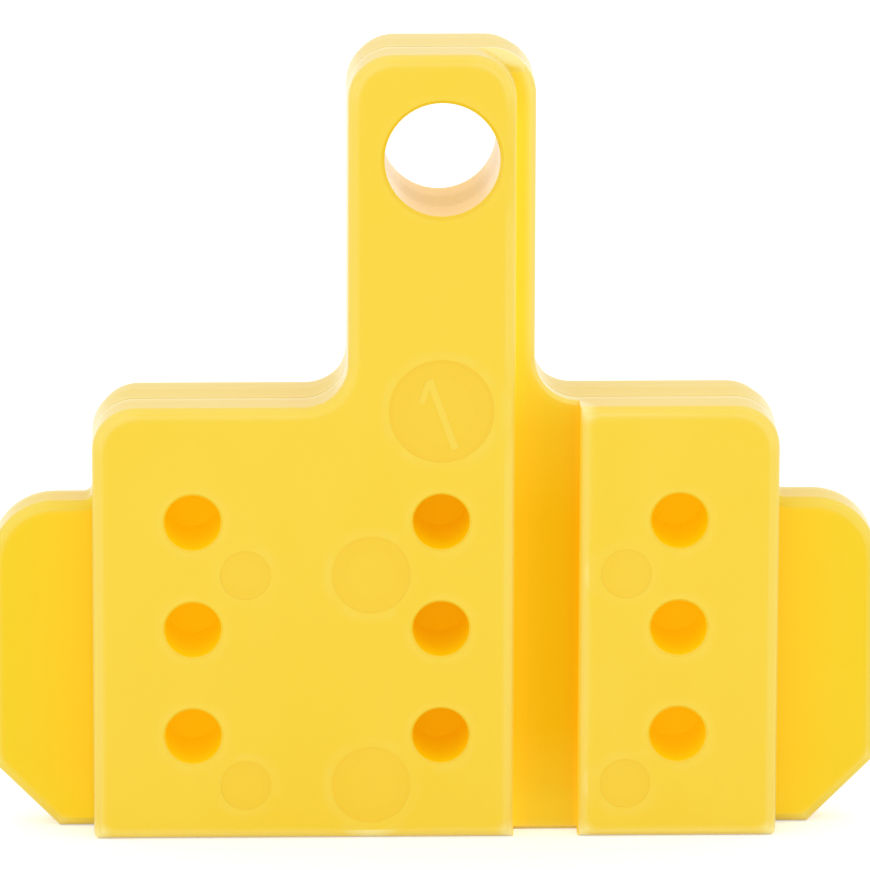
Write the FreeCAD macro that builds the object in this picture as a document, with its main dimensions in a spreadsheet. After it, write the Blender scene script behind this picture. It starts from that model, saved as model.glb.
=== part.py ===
# Lockout insert for a switch or plug housing: a flat T of yellow plastic with a padlock tab on top
# and two guide wings low on its sides. It is a stack of three layers, held by seven flush dowels.
# X runs across the width, Y from front to rear, Z up. The origin is on the underside, in the middle.
import FreeCAD, Part
import Sketcher
import os

V = FreeCAD.Vector

# Driving sizes, in millimetres
SIZES = {
    "block_width": 50.8,        # body of the T, between the wings
    "block_height": 33.0,
    "block_corner": 3.2,
    "tab_width": 13.85,         # padlock tab
    "tab_rise": 26.5,           # how far the tab stands above the block
    "tab_shift": 0.37,          # tab and middle column sit right of the block's middle
    "tab_crown": 3.3,
    "neck_round": 3.3,          # hollow corner between tab and block
    "wing_reach": 7.6,          # how far each wing stands out of the block's side
    "wing_height": 25.1,
    "wing_shoulder": 4.8,
    "wing_lead_in": 5.0,        # 45 degree corner that finds the guide slot
    "wing_root": 0.7,
    "front_depth": 3.6,         # layer thicknesses, front to rear
    "plate_depth": 3.4,
    "rear_depth": 3.0,
    "rear_inset": 0.3,          # the rear layer is this much smaller, except at its foot
    "groove_width": 4.8,        # keyway down the front, right of the tab
    "groove_depth": 2.1,
    "groove_wall": 1.2,         # left between the bore and the keyway
    "ramp_rest": 0.3,           # what the ramp at the keyway's top leaves of the front layer
    "bore_diameter": 8.5,       # clears a padlock shackle of 8 mm
    "bore_drop": 7.8,           # from the tab's top to the bore's axis
    "bore_chamfer": 0.25,
    "socket_diameter": 4.2,     # nine blind sockets in three columns
    "socket_column": 18.0,
    "socket_low": 7.95,
    "socket_pitch": 8.2,
    "socket_chamfer": 0.15,
    "small_dowel": 3.7,
    "large_dowel": 5.8,
    "neck_dowel": 7.7,
    "small_dowel_side": 14.1,
    "large_dowel_side": 4.8,
    "dowel_low": 4.2,
    "dowel_high": 20.35,
    "neck_dowel_drop": 0.2,     # the neck dowel's axis lies just under the block's top
    "dowel_gap": 0.03,          # radial clearance round a dowel
    "dowel_bite": 1.5,          # how far a dowel reaches into the rear layer
    "dowel_end_gap": 0.2,
    "dowel_set_back": 0.03,     # dowel ends lie this much below the front face
    "dowel_lead": 0.4,
    "edge_round": 0.7,          # outer edges that the hand meets
    "floor_chamfer": 0.3,       # edge of the keyway's floor
    "rear_chamfer": 0.4,
    "seam_chamfer": 0.15,       # fine edge break where two layers meet
}

doc = FreeCAD.newDocument("lockout_insert")

sheet = doc.addObject("Spreadsheet::Sheet", "sizes")
for row, (alias, value) in enumerate(SIZES.items(), start=1):
    sheet.set(f"A{row}", alias)
    sheet.set(f"B{row}", str(value))
    sheet.setAlias(f"B{row}", alias)
doc.recompute()

# Heights and places that follow from the driving sizes, each written once
TERMS = {
    "half_block": "sizes.block_width / 2",
    "half_total": "sizes.block_width / 2 + sizes.wing_reach",
    "top": "sizes.block_height + sizes.tab_rise",
    "tab_left": "sizes.tab_shift - sizes.tab_width / 2",
    "tab_right": "sizes.tab_shift + sizes.tab_width / 2",
    "groove_left": "sizes.tab_shift + sizes.bore_diameter / 2 + sizes.groove_wall",
    "groove_right": "sizes.tab_shift + sizes.bore_diameter / 2 + sizes.groove_wall + sizes.groove_width",
    "bore_height": "sizes.block_height + sizes.tab_rise - sizes.bore_drop",
}

# The flat faces of the stack along Y, front to rear
HALF_DEPTH = "(sizes.front_depth + sizes.plate_depth + sizes.rear_depth) / 2"
FACES = {
    "front": f"-{HALF_DEPTH}",
    "front_seam": f"-{HALF_DEPTH} + sizes.front_depth",
    "rear_seam": f"{HALF_DEPTH} - sizes.rear_depth",
    "rear": HALF_DEPTH,
}


def number(expression):
    """The present value of an expression of sheet cells."""
    return float(sheet.evalExpression(expression.replace("sizes.", "")))


def new_body(name, back_face):
    """A body whose drawing plane lies on its back face, so that its pads grow forwards."""
    body = doc.addObject("PartDesign::Body", name)
    body.Label = name
    body.setExpression("Placement.Base.y", back_face)
    return body


def origin_plane(body, role):
    for feature in body.Origin.OriginFeatures:
        if feature.Role == role:
            return feature
    raise ValueError(role)


def new_sketch(body, name, role="XZ_Plane", forward=None):
    """A sketch on one of the body's own planes, moved along that plane's normal if asked."""
    sketch = body.newObject("Sketcher::SketchObject", name)
    sketch.AttachmentSupport = [(origin_plane(body, role), "")]
    sketch.MapMode = "FlatFace"
    if forward:
        sketch.setExpression("AttachmentOffset.Base.z", forward)
    return sketch


def pin_value(sketch, constraint, expression):
    index = sketch.addConstraint(constraint)
    sketch.setExpression(f"Constraints[{index}]", expression)


def pin_point(sketch, shape, point, across, up):
    """Holds a point of a sketch at a distance from the origin, both ways."""
    for kind, expression in (("DistanceX", across), ("DistanceY", up)):
        at_origin = (-1, 1, shape, point)
        pin_value(sketch, Sketcher.Constraint(kind, *at_origin, number(expression)), expression)


def outline(sketch, sides, rounds):
    """A closed outline of upright and level sides. rounds[i] is the radius where side i ends."""
    count = len(sides)
    values = [number(place) for _, place in sides]
    corners = []
    for i, (kind, _) in enumerate(sides):
        here, after = values[i], values[(i + 1) % count]
        corners.append((here, after) if kind == "upright" else (after, here))
    radii = [number(radius) if radius else 0.0 for radius in rounds]
    lines = []
    for i, (kind, place) in enumerate(sides):
        start, end = V(*corners[i - 1], 0), V(*corners[i], 0)
        along = (end - start).normalize()
        first, last = start + along * radii[i - 1], end - along * radii[i]
        line = sketch.addGeometry(Part.LineSegment(first, last), False)
        lines.append((line, along))
        sketch.addConstraint(Sketcher.Constraint("Vertical" if kind == "upright" else "Horizontal", line))
        measure = "DistanceX" if kind == "upright" else "DistanceY"
        pin_value(sketch, Sketcher.Constraint(measure, -1, 1, line, 1, number(place)), place)
    for i in range(count):
        (line, along), (following, onward) = lines[i], lines[(i + 1) % count]
        if not rounds[i]:
            sketch.addConstraint(Sketcher.Constraint("Coincident", line, 2, following, 1))
            continue
        corner = V(*corners[i], 0)
        centre = corner - along * radii[i] + onward * radii[i]
        middle = centre + (corner - centre).normalize() * radii[i]
        arc = Part.Arc(corner - along * radii[i], middle, corner + onward * radii[i])
        bend = sketch.addGeometry(arc, False)
        turns_left = along.cross(onward).z > 0
        near, far = (1, 2) if turns_left else (2, 1)
        sketch.addConstraint(Sketcher.Constraint("Tangent", line, 2, bend, near))
        sketch.addConstraint(Sketcher.Constraint("Tangent", following, 1, bend, far))
        pin_value(sketch, Sketcher.Constraint("Radius", bend, radii[i]), rounds[i])


def circles(sketch, places):
    """Circles at (across, up, diameter), each bound to the sheet."""
    for across, up, diameter in places:
        centre = V(number(across), number(up), 0)
        ring = sketch.addGeometry(Part.Circle(centre, V(0, 0, 1), number(diameter) / 2), False)
        pin_value(sketch, Sketcher.Constraint("Diameter", ring, number(diameter)), diameter)
        pin_point(sketch, ring, 3, across, up)


def feature(body, kind, name, **settings):
    made = body.newObject(kind, name)
    for key, value in settings.items():
        if isinstance(value, str):
            made.setExpression(key, value)
        else:
            setattr(made, key, value)
    body.Tip = made
    doc.recompute()
    if "Invalid" in made.State or made.Shape.isNull() or not made.Shape.isValid():
        raise RuntimeError(f"{body.Label}: {name} fails")
    return made


def pad(body, name, sketch, length):
    return feature(body, "PartDesign::Pad", name, Profile=sketch, Length=length)


def pocket(body, name, sketch, reverse, depth=None):
    """A pocket that has to take something away. Without a depth it goes right through."""
    before = body.Shape.Volume
    if depth:
        made = feature(body, "PartDesign::Pocket", name, Profile=sketch, Length=depth, Reversed=reverse)
    else:
        made = feature(body, "PartDesign::Pocket", name, Profile=sketch, Type=1, Reversed=reverse)
    if body.Shape.Volume >= before - 1e-6:
        raise RuntimeError(f"{name} cuts nothing")
    return made


def ease(body, kind, name, wanted, size):
    """Rounds or chamfers the edges of the body so far that pass the test."""
    base = body.Tip
    names = [f"Edge{i}" for i, edge in enumerate(base.Shape.Edges, start=1) if wanted(edge)]
    if not names:
        raise RuntimeError(f"{name} finds no edge")
    key = "Radius" if kind == "PartDesign::Fillet" else "Size"
    return feature(body, kind, name, Base=(base, names), **{key: size})


def on_plane(edge, y):
    return all(abs(vertex.Y - y) < 1e-4 for vertex in edge.Vertexes)


def is_ring(edge):
    return isinstance(edge.Curve, Part.Circle) and edge.isClosed()


# Outlines that the layers share
def tee_sides(inset):
    """The T from its lower right corner, anticlockwise, drawn in by the inset but not at its foot."""
    return [
        ("upright", f"{TERMS['half_block']} - {inset}"),
        ("level", f"sizes.block_height - {inset}"),
        ("upright", f"{TERMS['tab_right']} - {inset}"),
        ("level", f"{TERMS['top']} - {inset}"),
        ("upright", f"{TERMS['tab_left']} + {inset}"),
        ("level", f"sizes.block_height - {inset}"),
        ("upright", f"-({TERMS['half_block']}) + {inset}"),
        ("level", "0"),
    ]


def tee_rounds():
    return ["sizes.block_corner", "sizes.neck_round", "sizes.tab_crown", "sizes.tab_crown",
            "sizes.neck_round", "sizes.block_corner", None, None]


def socket_places():
    columns = ("-sizes.socket_column", "sizes.tab_shift", "sizes.socket_column")
    rows = ("sizes.socket_low", "sizes.socket_low + sizes.socket_pitch",
            "sizes.socket_low + 2 * sizes.socket_pitch")
    return [(across, up, "sizes.socket_diameter") for across in columns for up in rows]


DOWELS = {
    "upper_left_dowel": ("-sizes.small_dowel_side", "sizes.dowel_high", "sizes.small_dowel"),
    "lower_left_dowel": ("-sizes.small_dowel_side", "sizes.dowel_low", "sizes.small_dowel"),
    "upper_right_dowel": ("sizes.small_dowel_side", "sizes.dowel_high", "sizes.small_dowel"),
    "lower_right_dowel": ("sizes.small_dowel_side", "sizes.dowel_low", "sizes.small_dowel"),
    "upper_middle_dowel": ("-sizes.large_dowel_side", "sizes.dowel_high", "sizes.large_dowel"),
    "lower_middle_dowel": ("-sizes.large_dowel_side", "sizes.dowel_low", "sizes.large_dowel"),
    "neck_dowel": ("sizes.tab_shift", "sizes.block_height - sizes.neck_dowel_drop", "sizes.neck_dowel"),
}


def dowel_seats():
    return [(across, up, f"{size} + 2 * sizes.dowel_gap") for across, up, size in DOWELS.values()]


BORE = [("sizes.tab_shift", TERMS["bore_height"], "sizes.bore_diameter")]


def triangle(sketch, corners):
    """A triangle whose corners are bound to the sheet."""
    points = [V(number(across), number(up), 0) for across, up in corners]
    for i in range(3):
        sketch.addGeometry(Part.LineSegment(points[i], points[(i + 1) % 3]), False)
    for i in range(3):
        sketch.addConstraint(Sketcher.Constraint("Coincident", i, 2, (i + 1) % 3, 1))
        pin_point(sketch, i, 1, *corners[i])


def depth_edges(side, level):
    """A test for the edges that run front to rear at a distance to either side and at a height."""
    def wanted(edge):
        places = {(round(vertex.X, 4), round(vertex.Z, 4)) for vertex in edge.Vertexes}
        return len(places) == 1 and places <= {(round(side, 4), round(level, 4)),
                                               (round(-side, 4), round(level, 4))}
    return wanted


def rims(y, diameter):
    """A test for the round hole edges of one diameter in one plane."""
    radius = number(diameter) / 2
    return lambda edge: is_ring(edge) and on_plane(edge, y) and abs(edge.Curve.Radius - radius) < 1e-4


# Front layer: a thin web with the T's outline, and two full-depth lands that leave the keyway between
def make_front_cheek():
    body = new_body("front_cheek", FACES["front_seam"])
    front = -number("sizes.front_depth")
    web_outline = new_sketch(body, "web_outline")
    outline(web_outline, tee_sides("0"), tee_rounds())
    web_depth = "sizes.front_depth - sizes.groove_depth"
    pad(body, "web", web_outline, web_depth)
    floor = -number(web_depth)
    ease(body, "PartDesign::Chamfer", "floor_edges", lambda edge: on_plane(edge, floor),
         "sizes.floor_chamfer")

    # The keyway's floor leans back above the crown's springing line, as a lead-in for the rib
    ramp_profile = new_sketch(body, "ramp_profile", "YZ_Plane")
    lean = f"({web_depth} - sizes.ramp_rest) * (1 + 1 / sizes.tab_crown)"
    beyond = f"{TERMS['top']} + 1"
    triangle(ramp_profile, [(f"-({web_depth}) - 1", f"{TERMS['top']} - sizes.tab_crown"),
                            (f"-({web_depth}) - 1", beyond),
                            (f"-({web_depth}) + {lean}", beyond)])
    pocket(body, "ramp", ramp_profile, reverse=True)

    land_outlines = new_sketch(body, "land_outlines")
    left_land = [
        ("upright", TERMS["groove_left"]),
        ("level", TERMS["top"]),
        ("upright", TERMS["tab_left"]),
        ("level", "sizes.block_height"),
        ("upright", f"-({TERMS['half_block']})"),
        ("level", "0"),
    ]
    left_rounds = ["sizes.tab_crown", "sizes.tab_crown", "sizes.neck_round", "sizes.block_corner"]
    outline(land_outlines, left_land, left_rounds + [None, None])
    right_land = [
        ("upright", TERMS["half_block"]),
        ("level", "sizes.block_height"),
        ("upright", TERMS["groove_right"]),
        ("level", "0"),
    ]
    outline(land_outlines, right_land, ["sizes.block_corner", None, None, None])
    pad(body, "lands", land_outlines, "sizes.front_depth")
    ease(body, "PartDesign::Fillet", "front_edges", lambda edge: on_plane(edge, front), "sizes.edge_round")
    ease(body, "PartDesign::Chamfer", "seam", lambda edge: on_plane(edge, 0), "sizes.seam_chamfer")

    hole_plan = new_sketch(body, "hole_plan")
    circles(hole_plan, socket_places() + BORE + dowel_seats())
    pocket(body, "holes", hole_plan, reverse=True)
    ease(body, "PartDesign::Chamfer", "bore_rim", rims(front, "sizes.bore_diameter"), "sizes.bore_chamfer")
    ease(body, "PartDesign::Chamfer", "socket_rims", rims(front, "sizes.socket_diameter"),
         "sizes.socket_chamfer")
    return body


# Middle layer: the same T, with a guide wing low on each side
def make_wing_plate():
    body = new_body("wing_plate", FACES["rear_seam"])
    front = -number("sizes.plate_depth")
    slab_outline = new_sketch(body, "slab_outline")
    slab = [
        ("upright", TERMS["half_total"]),
        ("level", "sizes.wing_height"),
        ("upright", TERMS["half_block"]),
        ("level", "sizes.wing_height + 2 * sizes.wing_root"),
        ("upright", f"-({TERMS['half_block']})"),
        ("level", "sizes.wing_height"),
        ("upright", f"-({TERMS['half_total']})"),
        ("level", "0"),
    ]
    outline(slab_outline, slab, ["sizes.wing_shoulder", "sizes.wing_root", None, None,
                                 "sizes.wing_root", "sizes.wing_shoulder", None, None])
    pad(body, "slab", slab_outline, "sizes.plate_depth")
    feet = depth_edges(number(TERMS["half_total"]), 0)
    ease(body, "PartDesign::Chamfer", "lead_ins", feet, "sizes.wing_lead_in")
    ease(body, "PartDesign::Fillet", "wing_edges", lambda edge: on_plane(edge, front), "sizes.edge_round")

    tee_outline = new_sketch(body, "tee_outline")
    outline(tee_outline, tee_sides("0"), tee_rounds())
    pad(body, "tee", tee_outline, "sizes.plate_depth")

    hole_plan = new_sketch(body, "hole_plan")
    circles(hole_plan, socket_places() + BORE + dowel_seats())
    pocket(body, "holes", hole_plan, reverse=True)
    return body


# Rear layer: a slightly smaller T that closes the sockets and holds the dowels' tails
def make_rear_cheek():
    body = new_body("rear_cheek", FACES["rear"])
    tee_outline = new_sketch(body, "tee_outline")
    outline(tee_outline, tee_sides("sizes.rear_inset"), tee_rounds())
    pad(body, "tee", tee_outline, "sizes.rear_depth")
    ease(body, "PartDesign::Chamfer", "rear_edges", lambda edge: on_plane(edge, 0), "sizes.rear_chamfer")

    bore_plan = new_sketch(body, "bore_plan")
    circles(bore_plan, BORE)
    pocket(body, "bore", bore_plan, reverse=True)
    ease(body, "PartDesign::Chamfer", "bore_rim", rims(0, "sizes.bore_diameter"), "sizes.bore_chamfer")

    seat_plan = new_sketch(body, "seat_plan", forward="sizes.rear_depth")
    circles(seat_plan, dowel_seats())
    pocket(body, "dowel_seats", seat_plan, reverse=False, depth="sizes.dowel_bite + sizes.dowel_end_gap")
    return body


# Dowels: turned pins that go through the front layers into the rear one, their tails chamfered
def make_dowel(name, across, up, diameter):
    body = new_body(name, f"{FACES['rear_seam']} + sizes.dowel_bite")
    section = new_sketch(body, "section")
    circles(section, [(across, up, diameter)])
    reach = "sizes.front_depth + sizes.plate_depth + sizes.dowel_bite - sizes.dowel_set_back"
    pad(body, "shank", section, reach)
    ease(body, "PartDesign::Chamfer", "tail", lambda edge: on_plane(edge, 0), "sizes.dowel_lead")
    return body


bodies = [make_front_cheek(), make_wing_plate(), make_rear_cheek()]
bodies += [make_dowel(name, *place) for name, place in DOWELS.items()]
doc.recompute()

# Nothing is written until every feature has been made and every solid is sound
for item in doc.Objects:
    if "Invalid" in item.State or "Error" in item.State:
        raise RuntimeError(f"{item.Name} is {item.State}")
for body in bodies:
    shape = body.Shape
    if shape.isNull() or not shape.isValid() or len(shape.Solids) != 1:
        raise RuntimeError(f"{body.Label} isn't one sound solid")

os.makedirs("parts", exist_ok=True)
for body in bodies:
    body.Shape.exportStep(f"parts/{body.Label}.step")
    box = body.Shape.optimalBoundingBox()
    corners = [box.XMin, box.XMax, box.YMin, box.YMax, box.ZMin, box.ZMax]
    print(f"{body.Label:20} {body.Shape.Volume:9.2f} mm3 ", " ".join(f"{value:8.3f}" for value in corners))
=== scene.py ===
# %% [markdown]
# # A lockout insert in moulded yellow plastic
# The object is a flat T that fills a plug or switch housing, so that nothing else can go in. A padlock
# goes through the eye in its tab. The CAD model gives its three layers and seven dowels, and this
# script gives them clean shading, a slightly cloudy plastic and light. The first step loads that model
# as a fixed frame and notes its box, because the dressed part must stay inside it.

# %% Load the frame
import math
import bmesh
import bpy
from mathutils import Matrix, Vector


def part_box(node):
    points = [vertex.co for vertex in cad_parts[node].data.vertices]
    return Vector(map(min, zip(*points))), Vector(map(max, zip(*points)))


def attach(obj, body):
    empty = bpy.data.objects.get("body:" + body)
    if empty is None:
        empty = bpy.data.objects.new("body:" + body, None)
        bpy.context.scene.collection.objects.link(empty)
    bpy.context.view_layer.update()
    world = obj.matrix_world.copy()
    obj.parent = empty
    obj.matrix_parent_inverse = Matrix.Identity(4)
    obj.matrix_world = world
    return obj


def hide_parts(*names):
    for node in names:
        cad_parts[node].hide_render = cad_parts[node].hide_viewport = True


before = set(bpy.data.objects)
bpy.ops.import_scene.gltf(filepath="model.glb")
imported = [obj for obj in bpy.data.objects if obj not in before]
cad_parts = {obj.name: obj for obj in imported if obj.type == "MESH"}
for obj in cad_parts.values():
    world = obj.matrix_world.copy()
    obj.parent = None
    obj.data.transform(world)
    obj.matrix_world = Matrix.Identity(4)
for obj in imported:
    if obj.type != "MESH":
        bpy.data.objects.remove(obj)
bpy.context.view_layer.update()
MM = 0.001
print("nodes:", sorted(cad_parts))

# %% [markdown]
# ## Camera
# The picture was taken with a long lens from a little above and from slightly left of the front, so
# the tops of the block and tab just show. The camera stands 700 mm away on that line and is rolled by
# a fifth of a degree, which levels the long edges. It is aimed so that the lens needs no shift, because
# a shift would stay on in every other view.

# %% Camera
DISTANCE = 700 * MM
AZIMUTH, ELEVATION, ROLL = (math.radians(angle) for angle in (-1.8, 14.29, 0.185))
TARGET = Vector((0.034, 0, 29.73)) * MM
FOCAL_PIXELS = 9431
PICTURE_WIDTH = 870

towards_camera = Vector((
    math.sin(AZIMUTH) * math.cos(ELEVATION),
    -math.cos(AZIMUTH) * math.cos(ELEVATION),
    math.sin(ELEVATION),
))
level = (-towards_camera).to_track_quat("-Z", "Y").to_matrix().to_4x4()
lens = bpy.data.cameras.new("long_lens")
lens.sensor_width = 36
lens.lens = FOCAL_PIXELS / PICTURE_WIDTH * lens.sensor_width
lens.clip_start, lens.clip_end = 0.02, 20
camera = bpy.data.objects.new("camera", lens)
camera.matrix_world = (
    Matrix.Translation(TARGET + towards_camera * DISTANCE) @ level @ Matrix.Rotation(ROLL, 4, "Z"))
bpy.context.scene.collection.objects.link(camera)
bpy.context.scene.camera = camera
bpy.context.scene.view_settings.view_transform = "Standard"
print("focal length", round(lens.lens, 1), "mm")

# %% [markdown]
# ## Studio
# The part stands on a white sweep in flat, soft light. The floor is an ordinary white surface that
# gives off a little light of its own to the camera and in reflections, so it reads as white and still
# holds the soft shadow under the part. The world is plain white and gives most of the light, and
# three large, weak lamps in front make the face as bright as the tops.


# %% White floor
def node_tree(owner):
    """Switches a material or world to nodes and empties it."""
    owner.use_nodes = True
    owner.node_tree.nodes.clear()
    return owner.node_tree.nodes, owner.node_tree.links


FLOOR_REACH = 3
PAPER_COLOUR = (0.86, 0.86, 0.86, 1)
PAPER_GLOW = 0.4
floor_mesh = bpy.data.meshes.new("floor")
bm = bmesh.new()
bmesh.ops.create_grid(bm, x_segments=1, y_segments=1, size=FLOOR_REACH)
bm.to_mesh(floor_mesh)
bm.free()
floor = bpy.data.objects.new("floor", floor_mesh)
bpy.context.scene.collection.objects.link(floor)

white_paper = bpy.data.materials.new("white_paper")
nodes, links = node_tree(white_paper)
paper_output = nodes.new("ShaderNodeOutputMaterial")
paper_surface = nodes.new("ShaderNodeBsdfDiffuse")
paper_surface.inputs["Color"].default_value = PAPER_COLOUR
paper_glow = nodes.new("ShaderNodeEmission")
paper_path = nodes.new("ShaderNodeLightPath")
paper_seen = nodes.new("ShaderNodeMath")
paper_seen.operation = "MAXIMUM"
paper_share = nodes.new("ShaderNodeMath")
paper_share.operation = "MULTIPLY"
paper_share.inputs[1].default_value = PAPER_GLOW
paper_sum = nodes.new("ShaderNodeAddShader")
links.new(paper_path.outputs["Is Camera Ray"], paper_seen.inputs[0])
links.new(paper_path.outputs["Is Glossy Ray"], paper_seen.inputs[1])
links.new(paper_seen.outputs[0], paper_share.inputs[0])
links.new(paper_share.outputs[0], paper_glow.inputs["Strength"])
links.new(paper_surface.outputs[0], paper_sum.inputs[0])
links.new(paper_glow.outputs[0], paper_sum.inputs[1])
links.new(paper_sum.outputs[0], paper_output.inputs["Surface"])
floor_mesh.materials.append(white_paper)
print("floor", 2 * FLOOR_REACH, "m across")

# %% White surroundings
world = bpy.data.worlds.new("white_room")
bpy.context.scene.world = world
nodes, links = node_tree(world)
room_output = nodes.new("ShaderNodeOutputWorld")
room = nodes.new("ShaderNodeBackground")
room.inputs["Color"].default_value = (1, 1, 1, 1)
room.inputs["Strength"].default_value = 1
links.new(room.outputs[0], room_output.inputs["Surface"])
print("world:", world.name)


# %% Soft lamps
def soft_lamp(name, place, aim, width, power):
    """An area lamp at a place in metres, turned to its aim."""
    lamp = bpy.data.lights.new(name, "AREA")
    lamp.shape = "DISK"
    lamp.size = width
    lamp.energy = power
    holder = bpy.data.objects.new(name, lamp)
    holder.location = place
    away = Vector(aim) - Vector(place)
    holder.rotation_euler = away.to_track_quat("-Z", "Y").to_euler()
    bpy.context.scene.collection.objects.link(holder)
    print(name, power, "W")


LAMP_AIM = (0, 0, 30 * MM)
soft_lamp("front_softbox", (-0.15, -1.0, 0.1), LAMP_AIM, 0.8, 0.9)
soft_lamp("left_softbox", (-0.8, -0.5, 0.1), LAMP_AIM, 0.5, 0.5)
soft_lamp("right_softbox", (0.8, -0.5, 0.1), LAMP_AIM, 0.5, 0.5)

# %% [markdown]
# ## Yellow plastic
# The real finish is a glossy, slightly cloudy yellow. Four effects are used by every material, so each
# is a node group that is built once: the grain, the flow, the painted shade and light where light has
# gone through more plastic, and the painted light along the edges. A single picture of the plastic
# could give all four at once, but it would not follow the shape, and the effects could not be tuned
# one by one. First come two helpers, one for an empty group and the other for placing a group in a
# material.


# %% Helpers for node groups
FACTOR, FIRST, SECOND, MIXED = 0, 6, 7, 2  # a colour Mix node's inputs, and its output


def effect_group(name, inputs, outputs):
    """An empty shader node group with named inputs, given with their values, and outputs."""
    group = bpy.data.node_groups.new(name, "ShaderNodeTree")
    for label, kind, value in inputs:
        made = group.interface.new_socket(label, in_out="INPUT", socket_type=kind)
        made.default_value = value
    for label, kind in outputs:
        group.interface.new_socket(label, in_out="OUTPUT", socket_type=kind)
    given = group.nodes.new("NodeGroupInput")
    result = group.nodes.new("NodeGroupOutput")
    print("effect:", name)
    return group, given, result


def group_node(nodes, group, values):
    """Places a node group in a material with its own values."""
    node = nodes.new("ShaderNodeGroup")
    node.node_tree = group
    for label, value in values.items():
        node.inputs[label].default_value = value
    return node


# %% [markdown]
# ### Moulded grain
# Moulded plastic takes over the fine grain of its steel mould, which breaks up reflections. Real bumps
# would need millions of faces, so two sizes of noise bend the normal, and the finer one also takes away
# a little gloss. They read Object coordinates, so they stay fixed to the part.

# %% Moulded grain
grain, given, result = effect_group(
    "moulded_grain",
    [("Grain per metre", "NodeSocketFloat", 2600.0), ("Height", "NodeSocketFloat", 0.00001)],
    [("Normal", "NodeSocketVector"), ("Gloss loss", "NodeSocketFloat")],
)
place = grain.nodes.new("ShaderNodeTexCoord")
speckle = grain.nodes.new("ShaderNodeTexNoise")
speckle.inputs["Detail"].default_value = 3
ripple = grain.nodes.new("ShaderNodeTexNoise")
ripple.inputs["Scale"].default_value = 260
ripple.inputs["Detail"].default_value = 1
relief = grain.nodes.new("ShaderNodeMath")
relief.operation = "MULTIPLY_ADD"
relief.inputs[1].default_value = 0.35
bump = grain.nodes.new("ShaderNodeBump")
bump.inputs["Strength"].default_value = 0.5
loss = grain.nodes.new("ShaderNodeMapRange")
loss.inputs["From Min"].default_value = 0.35
loss.inputs["From Max"].default_value = 0.65
grain.links.new(place.outputs["Object"], speckle.inputs["Vector"])
grain.links.new(given.outputs["Grain per metre"], speckle.inputs["Scale"])
grain.links.new(place.outputs["Object"], ripple.inputs["Vector"])
grain.links.new(speckle.outputs["Fac"], relief.inputs[0])
grain.links.new(ripple.outputs["Fac"], relief.inputs[2])
grain.links.new(relief.outputs[0], bump.inputs["Height"])
grain.links.new(given.outputs["Height"], bump.inputs["Distance"])
grain.links.new(bump.outputs["Normal"], result.inputs["Normal"])
grain.links.new(speckle.outputs["Fac"], loss.inputs["Value"])
grain.links.new(loss.outputs["Result"], result.inputs["Gloss loss"])

# %% [markdown]
# ### Flow of the melt
# The colour drifts slowly where the melt flowed into the mould, along the part's height. Noise that is
# stretched upwards mixes in a cloudier yellow. It reads Object coordinates too.

# %% Flow of the melt
flow, given, result = effect_group(
    "melt_flow",
    [("Colour", "NodeSocketColor", (0.9, 0.6, 0.05, 1)),
     ("Cloudy colour", "NodeSocketColor", (0.95, 0.7, 0.1, 1)),
     ("Amount", "NodeSocketFloat", 0.5)],
    [("Colour", "NodeSocketColor")],
)
place = flow.nodes.new("ShaderNodeTexCoord")
stretch = flow.nodes.new("ShaderNodeMapping")
stretch.inputs["Scale"].default_value = (1, 1, 0.45)
cloud = flow.nodes.new("ShaderNodeTexNoise")
cloud.inputs["Scale"].default_value = 120
cloud.inputs["Detail"].default_value = 4
cloud.inputs["Distortion"].default_value = 0.6
share = flow.nodes.new("ShaderNodeMapRange")
share.inputs["From Min"].default_value = 0.35
share.inputs["From Max"].default_value = 0.7
blend = flow.nodes.new("ShaderNodeMix")
blend.data_type = "RGBA"
flow.links.new(place.outputs["Object"], stretch.inputs["Vector"])
flow.links.new(stretch.outputs["Vector"], cloud.inputs["Vector"])
flow.links.new(cloud.outputs["Fac"], share.inputs["Value"])
flow.links.new(given.outputs["Amount"], share.inputs["To Max"])
flow.links.new(share.outputs["Result"], blend.inputs[FACTOR])
flow.links.new(given.outputs["Colour"], blend.inputs[FIRST])
flow.links.new(given.outputs["Cloudy colour"], blend.inputs[SECOND])
flow.links.new(blend.outputs[MIXED], result.inputs["Colour"])

# %% [markdown]
# ### Painted shade and light in the hollows
# Light that has gone through more plastic, or bounced between yellow walls, comes back a deeper orange,
# in the keyway, the sockets and the eye and on the wings beside the block. Scattering below the surface
# would do part of this by itself, but it is slow and noisy. So the mesh carries two painted values
# instead: "shade" mixes in the deeper colour as painted shade, and "light" adds painted light, a glow.

# %% Painted shade and painted light where light has gone through more plastic
depth, given, result = effect_group(
    "painted_shade_and_light",
    [("Open colour", "NodeSocketColor", (0.9, 0.6, 0.05, 1)),
     ("Painted shade colour", "NodeSocketColor", (0.9, 0.4, 0.0, 1))],
    [("Colour", "NodeSocketColor"), ("Painted light", "NodeSocketColor")],
)
shade = depth.nodes.new("ShaderNodeAttribute")
shade.attribute_name = "shade"
light = depth.nodes.new("ShaderNodeAttribute")
light.attribute_name = "light"
deepen = depth.nodes.new("ShaderNodeMix")
deepen.data_type = "RGBA"
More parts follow.
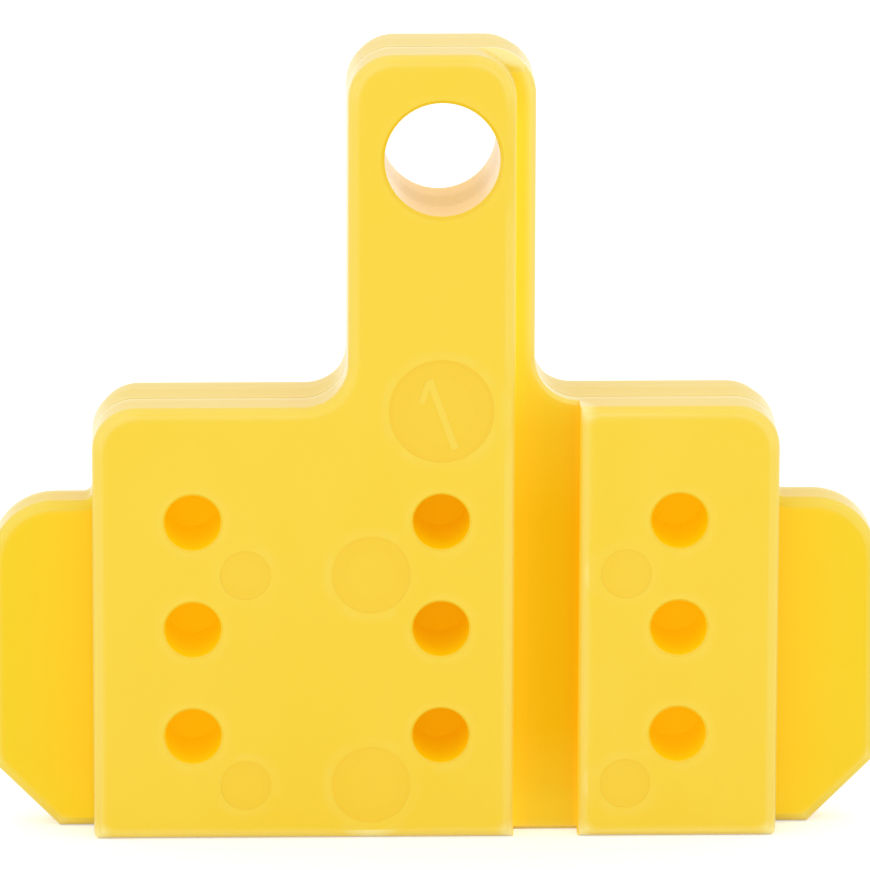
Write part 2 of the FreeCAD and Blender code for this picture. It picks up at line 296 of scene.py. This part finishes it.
# Painted light: the mixed colour, scaled by "light", is given off as a glow, though nothing here is a
# lamp.
painted_light = depth.nodes.new("ShaderNodeMix")
painted_light.data_type = "RGBA"
painted_light.inputs[FIRST].default_value = (0, 0, 0, 1)
depth.links.new(shade.outputs["Fac"], deepen.inputs[FACTOR])
depth.links.new(given.outputs["Open colour"], deepen.inputs[FIRST])
depth.links.new(given.outputs["Painted shade colour"], deepen.inputs[SECOND])
depth.links.new(deepen.outputs[MIXED], result.inputs["Colour"])
depth.links.new(light.outputs["Fac"], painted_light.inputs[FACTOR])
depth.links.new(deepen.outputs[MIXED], painted_light.inputs[SECOND])
depth.links.new(painted_light.outputs[MIXED], result.inputs["Painted light"])

# %% [markdown]
# ### Painted light along the edges
# Light leaks out along every edge, where the plastic is thin, and the rounded edges catch highlights,
# so the edges look paler: this is painted light in the colour. Painting it on the mesh would need many
# more points along each edge. So the material measures how much plastic lies within a millimetre or so
# below the surface, and this group turns that into a paler colour. The painted value "edge" weakens it
# where the real part shows less of it, round the holes, at the seams and at the foot.

# %% Painted light: a paler colour along the edges
edge_light_effect, given, result = effect_group(
    "painted_edge_light",
    [("Colour", "NodeSocketColor", (0.9, 0.6, 0.05, 1)),
     ("Edge light colour", "NodeSocketColor", (0.95, 0.8, 0.2, 1)),
     ("Plastic below", "NodeSocketFloat", 1.0),
     ("Amount", "NodeSocketFloat", 1.0)],
    [("Colour", "NodeSocketColor")],
)
thin = edge_light_effect.nodes.new("ShaderNodeMapRange")
thin.interpolation_type = "SMOOTHSTEP"
thin.inputs["From Min"].default_value = 0.9
thin.inputs["From Max"].default_value = 0.52
edge = edge_light_effect.nodes.new("ShaderNodeAttribute")
edge.attribute_name = "edge"
strength = edge_light_effect.nodes.new("ShaderNodeMath")
strength.operation = "MULTIPLY"
pale = edge_light_effect.nodes.new("ShaderNodeMix")
pale.data_type = "RGBA"
edge_light_effect.links.new(given.outputs["Plastic below"], thin.inputs["Value"])
edge_light_effect.links.new(given.outputs["Amount"], strength.inputs[0])
edge_light_effect.links.new(edge.outputs["Fac"], strength.inputs[1])
edge_light_effect.links.new(strength.outputs[0], thin.inputs["To Max"])
edge_light_effect.links.new(thin.outputs["Result"], pale.inputs[FACTOR])
edge_light_effect.links.new(given.outputs["Colour"], pale.inputs[FIRST])
edge_light_effect.links.new(given.outputs["Edge light colour"], pale.inputs[SECOND])
edge_light_effect.links.new(pale.outputs[MIXED], result.inputs["Colour"])

# %% [markdown]
# ### The plastics
# One recipe makes every plastic of the part, and each gets its own colours and strengths. The keyway
# and the sockets have almost no gloss, because their walls mostly reflect each other. A weak sheen, the
# bloom, whitens the surfaces that are seen at a low angle, such as the tops.


# %% A material from the four effects
GRAIN_HEIGHT = 0.001 * MM
GLOSS_SPREAD = 0.03
BLOOM_SPREAD = 0.4
LIGHT_BENDING = 1.5
EDGE_LIGHT_REACH, EDGE_LIGHT_SAMPLES = 1.35 * MM, 8
CLOUDY = (0.93, 0.665, 0.035, 1)
EDGE_LIGHT_COLOUR = (0.98, 0.86, 0.33, 1)


def yellow_plastic(name, colour, painted_shade_colour, cloud=0.5, edge=1.0, painted_light=0.25, shine=0.5, roughness=0.2,
                   bloom=0.25):
    """A plastic with an open and a painted shade colour, and how strong each effect and its painted
    light are.
    """
    material = bpy.data.materials.new(name)
    nodes, links = node_tree(material)
    output = nodes.new("ShaderNodeOutputMaterial")
    plastic = nodes.new("ShaderNodeBsdfPrincipled")
    plastic.inputs["IOR"].default_value = LIGHT_BENDING
    plastic.inputs["Specular IOR Level"].default_value = shine
    # Painted light: the plastic glows, though it is no lamp.
    plastic.inputs["Emission Strength"].default_value = painted_light
    plastic.inputs["Sheen Weight"].default_value = bloom
    plastic.inputs["Sheen Roughness"].default_value = BLOOM_SPREAD
    grain_node = group_node(nodes, grain, {"Height": GRAIN_HEIGHT})
    flow_node = group_node(
        nodes, flow, {"Colour": (*colour, 1), "Cloudy colour": CLOUDY, "Amount": cloud})
    depth_node = group_node(nodes, depth, {"Painted shade colour": (*painted_shade_colour, 1)})
    edge_light_node = group_node(nodes, edge_light_effect, {"Edge light colour": EDGE_LIGHT_COLOUR, "Amount": edge})
    # Painted edge light: how little plastic lies below sets how pale the colour turns.
    below = nodes.new("ShaderNodeAmbientOcclusion")
    below.inside = True
    below.only_local = True
    below.samples = EDGE_LIGHT_SAMPLES
    below.inputs["Distance"].default_value = EDGE_LIGHT_REACH
    gloss = nodes.new("ShaderNodeMapRange")
    gloss.inputs["To Min"].default_value = roughness
    gloss.inputs["To Max"].default_value = roughness + GLOSS_SPREAD
    links.new(flow_node.outputs["Colour"], depth_node.inputs["Open colour"])
    links.new(depth_node.outputs["Colour"], edge_light_node.inputs["Colour"])
    links.new(below.outputs["AO"], edge_light_node.inputs["Plastic below"])
    links.new(edge_light_node.outputs["Colour"], plastic.inputs["Base Color"])
    links.new(depth_node.outputs["Painted light"], plastic.inputs["Emission Color"])
    links.new(grain_node.outputs["Gloss loss"], gloss.inputs["Value"])
    links.new(gloss.outputs["Result"], plastic.inputs["Roughness"])
    links.new(grain_node.outputs["Normal"], plastic.inputs["Normal"])
    links.new(plastic.outputs[0], output.inputs["Surface"])
    return material


# %% The six plastics
# Each plastic's second colour is its painted shade colour, deepest in the keyway and the sockets, and
# its glow strength is painted light.
cheek_plastic = yellow_plastic("cheek_plastic", (0.92, 0.64, 0.014), (0.92, 0.5, 0.001))
plate_plastic = yellow_plastic(
    "plate_plastic", (0.91, 0.64, 0.005), (0.91, 0.58, 0.001), cloud=0.3, painted_light=0.15, shine=0.25)
dowel_plastic = yellow_plastic("dowel_plastic", (0.92, 0.64, 0.016), (0.90, 0.54, 0.006), edge=0.0)
keyway_plastic = yellow_plastic(
    "keyway_plastic", (0.92, 0.665, 0.04), (0.88, 0.485, 0.0003), cloud=0.2, painted_light=0.3, shine=0.05,
    roughness=0.4, bloom=0)
socket_plastic = yellow_plastic(
    "socket_plastic", (0.865, 0.64, 0.002), (0.80, 0.485, 0.0004), cloud=0.2, edge=0.0, painted_light=0.28,
    shine=0.05, roughness=0.4, bloom=0)
number_plastic = yellow_plastic("number_plastic", (0.92, 0.65, 0.03), (0.92, 0.5, 0.001), edge=0.06)
FINISHES = [cheek_plastic, plate_plastic, dowel_plastic, keyway_plastic, socket_plastic, number_plastic]
print("materials:", [material.name for material in FINISHES])

# %% [markdown]
# ## Three layers
# Each layer's shape is right in the CAD model, but its mesh is loose triangles, which shade as facets.
# A layer could be built anew, but a welded copy can't drift away from the model. Its doubles are merged,
# flat areas become single faces, and corners of more than 35 degrees are marked sharp. Area-weighted
# normals then keep the flats flat right up to the rounded edges. The block's foot corners get their
# small round here. Each face corner also carries three painted values that the materials read: "shade",
# the painted shade, 0 on open faces and up to 1 where the colour is deepest, "light", the painted light,
# how far light comes through the plastic there, and "edge", how pale the painted edge light may make an
# edge. Flat faces have no points to carry a gradient, so the front, the keyway's floor and the wings
# are cut across first.

# %% Places that the shading needs
SAME = 1e-6  # points closer than this, in metres, count as one
FRONT, SEAM = (corner.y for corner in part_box("front_cheek"))
REAR_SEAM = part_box("wing_plate")[1].y
TAB_MIDDLE = (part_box("neck_dowel")[0].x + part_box("neck_dowel")[1].x) / 2
BLOCK_SIDE = 25.4 * MM
FOOT_ROUND = 0.7 * MM
SOCKET_RADIUS = 2.1 * MM
SOCKET_COLUMNS = (-18 * MM, TAB_MIDDLE, 18 * MM)
SOCKET_ROWS = (7.95 * MM, 16.15 * MM, 24.35 * MM)
SOCKETS = [Vector((across, up)) for across in SOCKET_COLUMNS for up in SOCKET_ROWS]
EYE_HEIGHT = 51.7 * MM
EYE_RADIUS = 4.25 * MM
EYE_RIM = 0.3 * MM
SEATS = []
for name in sorted(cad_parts):
    if name.endswith("_dowel"):
        low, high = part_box(name)
        SEATS.append((Vector(((low.x + high.x) / 2, (low.z + high.z) / 2)), (high.x - low.x) / 2))
ROUND_EDGES = SEATS + [(socket, SOCKET_RADIUS) for socket in SOCKETS]
ROUND_EDGES.append((Vector((TAB_MIDDLE, EYE_HEIGHT)), EYE_RADIUS + EYE_RIM))
print(len(SOCKETS), "sockets and", len(SEATS), "dowel seats")

# %% [markdown]
# ### Gradients as steps
# How a painted value changes along the part is written as a list of (place, value) steps, and a helper
# reads the straight runs between them. A formula would be shorter, but a list is easier to tune against
# a picture, because each number belongs to one place on the part.


# %% Gradients
def in_steps(value, steps):
    """Reads a value off straight runs between (place, height) steps."""
    if value <= steps[0][0]:
        return steps[0][1]
    for (start, low), (end, high) in zip(steps, steps[1:]):
        if value <= end:
            return low + (high - low) * (value - start) / (end - start)
    return steps[-1][1]


# How strong the painted edge light is near round holes, seams, wings and the foot.
CLEAR_OF_ROUND = [(0.6 * MM, 0.03), (1.4 * MM, 0.5), (2.4 * MM, 1.0)]
WALL_SHADE = [(0, 0.75), (1, 1.0)]
WALL_LIGHT = [(0, 0.8), (1, 1.0)]
LOWER_WALL_LIT = 0.8
EYE_SHADE = [(0, 0.0), (1, 0.4)]
EYE_LIGHT = [(0, 0.1), (1, 0.6)]
SEAM_EDGE, WING_EDGE, FOOT_EDGE = 0.2, 0.5, 0.3
print("an edge 1 mm from a socket has", round(in_steps(1 * MM, CLEAR_OF_ROUND), 2), "of its paleness")

# %% [markdown]
# ### Helpers for a layer
# These weld a node's mesh, cut faces across, round the foot corners and turn a bmesh into a piece that
# rides on the frame. Modifiers could weld and bevel too, but they can't pick faces by where they lie.
# Every piece has the same three material slots: its own plastic, the keyway's and the sockets'.

# %% A welded copy of a layer
OWN, KEYWAY, SOCKET = 0, 1, 2
SHARP_CORNER = math.radians(35)
FLAT_ENOUGH = math.radians(0.5)


def finished_piece(name, bm, material, node=None):
    """Makes the mesh an object that rides on the frame and stands for a node."""
    for edge in bm.edges:
        edge.smooth = edge.calc_face_angle(math.pi) < SHARP_CORNER
    mesh = bpy.data.meshes.new(name)
    bm.to_mesh(mesh)
    bm.free()
    if "custom_normal" in mesh.attributes:
        mesh.attributes.remove(mesh.attributes["custom_normal"])
    for plastic in (material, keyway_plastic, socket_plastic):
        mesh.materials.append(plastic)
    mesh.polygons.foreach_set("use_smooth", [True] * len(mesh.polygons))
    piece = bpy.data.objects.new(name, mesh)
    bpy.context.scene.collection.objects.link(piece)
    even = piece.modifiers.new("even_normals", "WEIGHTED_NORMAL")
    even.keep_sharp = True
    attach(piece, "root")
    if node:
        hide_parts(node)
    print(f"{name}: {len(mesh.vertices)} points, {len(mesh.polygons)} faces")


def welded(node):
    """A copy of a node's mesh with its doubles merged and its flat areas joined."""
    bm = bmesh.new()
    bm.from_mesh(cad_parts[node].data)
    bmesh.ops.remove_doubles(bm, verts=bm.verts, dist=SAME)
    bmesh.ops.dissolve_limit(
        bm, angle_limit=FLAT_ENOUGH, verts=bm.verts, edges=bm.edges, use_dissolve_boundaries=False)
    return bm


# %% Cuts across a layer
ON_PLANE = 1e-7


def cut_across(bm, wanted, axis, places):
    """Cuts the wanted faces by planes across an axis, so that they can carry a gradient."""
    for place in places:
        faces = [face for face in bm.faces if wanted(face)]
        edges = list({edge for face in faces for edge in face.edges})
        points = list({point for face in faces for point in face.verts})
        middle = Vector((0, 0, 0))
        middle[axis] = place
        normal = Vector((0, 0, 0))
        normal[axis] = 1
        bmesh.ops.bisect_plane(
            bm, geom=points + edges + faces, dist=ON_PLANE, plane_co=middle, plane_no=normal)


FOOT_CUTS = [math.radians(turn) for turn in (22.5, 45, 67.5)]
FOOT_CUT_REACH = FOOT_ROUND * 1.02  # the cuts stay a hair outside the round


def round_foot_corners(bm):
    """Cuts each foot corner of the block with three planes, which shade as one small round."""
    for side in (-1, 1):
        middle = Vector((side * (BLOCK_SIDE - FOOT_ROUND), 0, FOOT_ROUND))
        for turn in FOOT_CUTS:
            outwards = Vector((side * math.cos(turn), 0, -math.sin(turn)))
            cut = bmesh.ops.bisect_plane(
                bm, geom=bm.verts[:] + bm.edges[:] + bm.faces[:], dist=ON_PLANE,
                plane_co=middle + outwards * FOOT_CUT_REACH, plane_no=outwards, clear_outer=True)
            rim = [item for item in cut["geom_cut"] if isinstance(item, bmesh.types.BMEdge)]
            bmesh.ops.holes_fill(bm, edges=rim, sides=0)


print("foot corners rounded by", FOOT_ROUND / MM, "mm")

# %% [markdown]
# ### Painting a layer
# A painter goes over every face corner of a layer. It knows the sockets and the eye by their places.
# For all other faces it asks a function that the layer gives, because only the layer knows whether it
# has a keyway or wings.

# %% Where a face lies
MIDDLE_COLUMN = 9 * MM
OUTER_COLUMN_SHADE = 0.5
HAIR, NEAR = 0.01 * MM, 0.1 * MM
WALL_LEAN, RIM_LEAN = 0.5, 0.6  # a wall's or rim's normal points less than this to the front or rear
print("the middle column reaches", round(MIDDLE_COLUMN / MM, 1), "mm to each side")


def lies_at(face, y):
    """Whether a face lies in the plane at this depth."""
    return all(abs(point.co.y - y) < SAME for point in face.verts)


def socket_depth(point):
    """0 at a socket's mouth and 1 on its floor, or None away from the sockets."""
    for middle in SOCKETS:
        if (Vector((point.x, point.z)) - middle).length < SOCKET_RADIUS + HAIR:
            return (point.y - FRONT) / (REAR_SEAM - FRONT)
    return None


def by_column(face):
    """Painted shade: the middle column of sockets is the deepest in colour."""
    return 1.0 if abs(face.calc_center_median().x) < MIDDLE_COLUMN else OUTER_COLUMN_SHADE


def in_eye(face):
    """Whether a face is part of the eye's wall, rather than of the flats round it."""
    middle = face.calc_center_median()
    away = math.hypot(middle.x - TAB_MIDDLE, middle.z - EYE_HEIGHT)
    return away < EYE_RADIUS + EYE_RIM and abs(face.normal.y) < RIM_LEAN


def edge_strength(point):
    """Painted edge light here: hardly any round the holes, little at a seam or the foot, else full."""
    clear = min(
        math.hypot(point.x - middle.x, point.z - middle.y) - radius for middle, radius in ROUND_EDGES)
    strength = in_steps(clear, CLEAR_OF_ROUND)
    if min(abs(point.y - SEAM), abs(point.y - REAR_SEAM)) < SAME:
        strength *= SEAM_EDGE if abs(point.x) < BLOCK_SIDE + NEAR else WING_EDGE
    return strength if point.z > NEAR else FOOT_EDGE * strength


# %% The painter
def paint(bm, open_surface):
    """Writes each face corner's shade, light and edge: by place in sockets and eye, else as told."""
    for name in ("shade", "light", "edge"):
        bm.loops.layers.float.new(name)
    shade, light, edge = (bm.loops.layers.float[name] for name in ("shade", "light", "edge"))
    for face in bm.faces:
        in_socket = [socket_depth(point.co) for point in face.verts]
        walls = all(value is not None for value in in_socket) and abs(face.normal.y) < WALL_LEAN
        face.material_index = SOCKET if walls else OWN
        upwards = max(0.0, face.normal.z)
        for corner, value in zip(face.loops, in_socket):
            corner[edge] = edge_strength(corner.vert.co)
            if walls:
                # Socket walls: painted shade, deeper towards the floor and lighter on the lower wall,
                # which faces up into the light, and painted light that grows with depth.
                fade = 1 - LOWER_WALL_LIT * upwards * (1 - value)
                corner[shade] = in_steps(value, WALL_SHADE) * by_column(face) * fade
                corner[light] = in_steps(value, WALL_LIGHT)
            elif in_eye(face):
                # The eye's lower wall, which faces up, gets painted light and a deeper painted shade.
                corner[shade] = in_steps(upwards, EYE_SHADE)
                corner[light] = in_steps(upwards, EYE_LIGHT)
            else:
                corner[shade], corner[light] = open_surface(face, corner.vert.co)
    print(len(bm.faces), "faces painted")


# %% [markdown]
# ### Front cheek
# The front layer has the keyway, the deepest in painted shade halfway up its right side, and paler at
# its foot and where it runs up the tab to its ramp. Its floor also gets painted light, strongest along
# the walls, and the ramp a little. The keyway's walls get the same plastic as its floor. A grid of cuts
# over the front face lets the painted edge light fade out close to the sockets and dowels.

# %% The keyway's gradients
KEYWAY_FLOOR = FRONT + 2.1 * MM
KEYWAY_SIDES = (5.7 * MM, 10.8 * MM)
BESIDE_EYE = (4.9 * MM, 6 * MM)
# Painted shade up the keyway and across it, and painted light along its walls, fading out by the ramp.
KEYWAY_SHADE = [(0, 0.2), (1.9 * MM, 0.35), (3.4 * MM, 0.6), (8 * MM, 0.95), (12 * MM, 1.0),
                (24 * MM, 1.0), (31 * MM, 0.7), (34 * MM, 0.3), (38 * MM, 0.05)]
KEYWAY_SHADE_ACROSS = [(5.9 * MM, 0.8), (6.9 * MM, 0.88), (8.3 * MM, 1.0)]
KEYWAY_LIGHT = [(5.82 * MM, 0.9), (6.2 * MM, 0.6), (6.9 * MM, 0.25), (8.3 * MM, 0.1), (10.2 * MM, 0.1),
                (10.62 * MM, 0.5)]
KEYWAY_LIGHT_FADE = [(54 * MM, 1.0), (57.8 * MM, 0.4)]
KEYWAY_EDGE = [(34 * MM, 0.15), (40 * MM, 0.8)]
RAMP_LEFT, RAMP_FOOT, RAMP_START = TAB_MIDDLE + 5.5 * MM, 55 * MM, 56.2 * MM
RAMP_LIGHT = 0.3
UPRIGHT, RAMP_LEAN = 0.9, -0.3  # how far a wall's normal points sideways, and a ramp's to the front
GRID, GRID_COLUMNS, GRID_ROWS = 1.5 * MM, range(-16, 17), range(1, 40)
print("front cut into", round(GRID / MM, 1), "mm squares")


def in_keyway(face):
    """Whether a face is part of the keyway's floor."""
    return lies_at(face, KEYWAY_FLOOR)


def keyway_wall(face):
    """Whether a face is part of the keyway's upright walls."""
    middle = face.calc_center_median()
    left, right = KEYWAY_SIDES
    return abs(face.normal.x) > UPRIGHT and left < middle.x < right and middle.y < KEYWAY_FLOOR


def on_ramp(face):
    """Whether a face is part of the ramp that ends the keyway beside the tab's crown."""
    middle = face.calc_center_median()
    return (middle.x > RAMP_LEFT and middle.z > RAMP_FOOT
            and FRONT + 0.5 * MM < middle.y < KEYWAY_FLOOR and face.normal.y < RAMP_LEAN)


def keyway_surface(face, point):
    """The shade and light of a face corner that is in no socket and not in the eye."""
    if in_keyway(face) or keyway_wall(face):
        # Painted light, strongest along the walls, and painted shade up the keyway.
        light = in_steps(point.x, KEYWAY_LIGHT) * in_steps(point.z, KEYWAY_LIGHT_FADE)
        if face.calc_center_median().z > RAMP_START:
            return 0.0, light
        return in_steps(point.z, KEYWAY_SHADE) * in_steps(point.x, KEYWAY_SHADE_ACROSS), light
    return (0.0, RAMP_LIGHT) if on_ramp(face) else (0.0, 0.0)


def in_front(face):
    """The front face, and the rounded edge and wall that run between the keyway and the eye."""
    middle = face.calc_center_median()
    left, right = BESIDE_EYE
    beside_eye = left < middle.x < right and middle.y < KEYWAY_FLOOR
    return beside_eye or lies_at(face, FRONT)


# %% Front cheek
bm = welded("front_cheek")
round_foot_corners(bm)
cut_across(bm, in_keyway, 2, [place for place, _ in KEYWAY_SHADE[1:] + KEYWAY_LIGHT_FADE[:1]] + [RAMP_START])
cut_across(bm, in_keyway, 0, [place for place, _ in KEYWAY_LIGHT[1:-1]])
cut_across(bm, lambda face: lies_at(face, FRONT), 0, [step * GRID for step in GRID_COLUMNS])
cut_across(bm, in_front, 2, [step * GRID for step in GRID_ROWS])
paint(bm, keyway_surface)
edge = bm.loops.layers.float["edge"]
for face in bm.faces:
    if in_keyway(face) or keyway_wall(face):
        face.material_index = KEYWAY
        for corner in face.loops:
            corner[edge] *= in_steps(corner.vert.co.z, KEYWAY_EDGE)
finished_piece("front_cheek_skin", bm, cheek_plastic, "front_cheek")

# %% [markdown]
# ### Wing plate
# The middle layer carries both wings. Their front faces get painted shade and painted light: they are
# deepest in colour beside the block, whose yellow side throws its light on them, and open out towards
# the tips and the foot.

# %% Wing plate
WING_SHADE = [(BLOCK_SIDE, 1.0), (27 * MM, 0.75), (30 * MM, 0.3), (33 * MM, 0.1)]
WING_FOOT_SHADE = [(1.2 * MM, 0.35), (5 * MM, 1.0)]


def wing_surface(face, point):
    """The shade and light of a face corner: a gradient on the wings' front faces only."""
    if lies_at(face, SEAM) and abs(face.calc_center_median().x) > BLOCK_SIDE:
        # Painted shade and light, deepest beside the block and fading towards the tips and the foot.
        across = in_steps(abs(point.x), WING_SHADE)
        return across * in_steps(point.z, WING_FOOT_SHADE), across
    return 0.0, 0.0


bm = welded("wing_plate")
for side in (-1, 1):
    cut_across(bm, lambda face: lies_at(face, SEAM), 0, [side * place for place, _ in WING_SHADE[:-1]])
cut_across(bm, lambda face: lies_at(face, SEAM), 2, [place for place, _ in WING_FOOT_SHADE])
paint(bm, wing_surface)
finished_piece("wing_plate_skin", bm, plate_plastic, "wing_plate")

# %% [markdown]
# ### Rear cheek
# The rear layer closes the sockets, so its front face is their floor and gets their plastic, their
# painted shade, deepest in the middle column, and full painted light. Two cuts divide that face into
# the three columns of sockets.

# %% Rear cheek
bm = welded("rear_cheek")
round_foot_corners(bm)
cut_across(bm, lambda face: lies_at(face, REAR_SEAM), 0, (-MIDDLE_COLUMN, MIDDLE_COLUMN))
# The sockets' floor gets painted shade by column and full painted light.
paint(bm, lambda face, point: (by_column(face), 1.0) if lies_at(face, REAR_SEAM) else (0.0, 0.0))
for face in bm.faces:
    if lies_at(face, REAR_SEAM):
        face.material_index = SOCKET
finished_piece("rear_cheek_skin", bm, cheek_plastic, "rear_cheek")

# %% [markdown]
# ## Dowels
# Only a dowel's front end shows, as a faint disc a hair below the face, a touch deeper in colour
# towards its rim. The model's own dowel would do for the shape, but its flat end has no points to carry
# that tint, so each pin is built anew. It starts as a cylinder with a bevelled tail. It fills its seat,
# so no dark gap shows round it. Its end is inset in rings and dished slightly towards the middle.

# %% Dowels
DOWEL_FIT = 0.03 * MM
TAIL_BEVEL = 0.4 * MM
NECK_TINT, DOWEL_TINT = 0.55, 0.42
RINGS = ((0.08, 0.7), (0.3, 0.45))
RING_SINK = 0.006 * MM


def dowel(node):
    """A pin in the place of a dowel node, with a tinted and dished front end."""
    low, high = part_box(node)
    middle = (low + high) / 2
    radius = (high.x - low.x) / 2 + DOWEL_FIT
    bm = bmesh.new()
    bmesh.ops.create_cone(
        bm, cap_ends=True, segments=64, radius1=radius, radius2=radius, depth=high.y - low.y,
        matrix=Matrix.Translation(middle) @ Matrix.Rotation(math.radians(90), 4, "X"))
    tail = [e for e in bm.edges if all(abs(v.co.y - high.y) < SAME for v in e.verts)]
    bmesh.ops.bevel(bm, geom=tail, offset=TAIL_BEVEL, offset_type="OFFSET", affect="EDGES",
                    segments=2, profile=0.5, material=-1)
    layer = bm.loops.layers.float.new("shade")
    end = [face for face in bm.faces if lies_at(face, low.y)]
    tint = NECK_TINT if node == "neck_dowel" else DOWEL_TINT
    for face in end:
        for corner in face.loops:
            corner[layer] = tint
    for share, value in RINGS:
        bmesh.ops.inset_region(
            bm, faces=end, thickness=radius * share, depth=-RING_SINK, use_even_offset=True)
        for face in end:
            for corner in face.loops:
                corner[layer] = tint * value
    finished_piece(node + "_pin", bm, dowel_plastic, node)


for name in sorted(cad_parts):
    if name.endswith("_dowel"):
        dowel(name)

# %% [markdown]
# ## Cavity number
# Moulders number the cavities of a tool, and a faint plain figure one stands on the neck dowel's end,
# turned a little. Its stem and flag are one flat outline, which is drawn out by a few hundredths of a
# millimetre. A text object would need a font, and this figure is two strokes.


# %% Cavity number
def cavity_number(name, middle, turn, rise):
    """A raised figure one, turned about the line of sight."""
    bm = bmesh.new()
    stem, flag, width, drop, notch = 2.8 * MM, 1.3 * MM, 0.26 * MM, 0.35 * MM, 0.3 * MM
    flag_root = 2.6 * width
    outline = ((-width, -stem), (width, -stem), (width, stem), (-width, stem), (-flag, stem - flag),
               (-flag + notch, stem - flag - drop), (-width, stem - flag_root))
    points = [bm.verts.new((across, 0, up)) for across, up in outline]
    face = bm.faces.new(points)
    bmesh.ops.rotate(bm, verts=bm.verts, cent=(0, 0, 0), matrix=Matrix.Rotation(turn, 3, "Y"))
    bmesh.ops.translate(bm, verts=bm.verts, vec=middle)
    raised = bmesh.ops.extrude_face_region(bm, geom=[face])["geom"]
    bmesh.ops.translate(bm, verts=[item for item in raised if isinstance(item, bmesh.types.BMVert)],
                        vec=(0, -rise, 0))
    bmesh.ops.recalc_face_normals(bm, faces=bm.faces)
    layer = bm.loops.layers.float.new("edge")
    for face in bm.faces:
        for corner in face.loops:
            corner[layer] = 1.0
    finished_piece(name, bm, number_plastic)


NUMBER_TURN = math.radians(-20)
NUMBER_RISE = 0.045 * MM
NUMBER_SHIFT = Vector((0.05, 0.02, -0.25)) * MM
neck_low, neck_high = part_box("neck_dowel")
neck_end = Vector((TAB_MIDDLE, neck_low.y, (neck_low.z + neck_high.z) / 2))
cavity_number("cavity_number", neck_end + NUMBER_SHIFT, NUMBER_TURN, NUMBER_RISE)
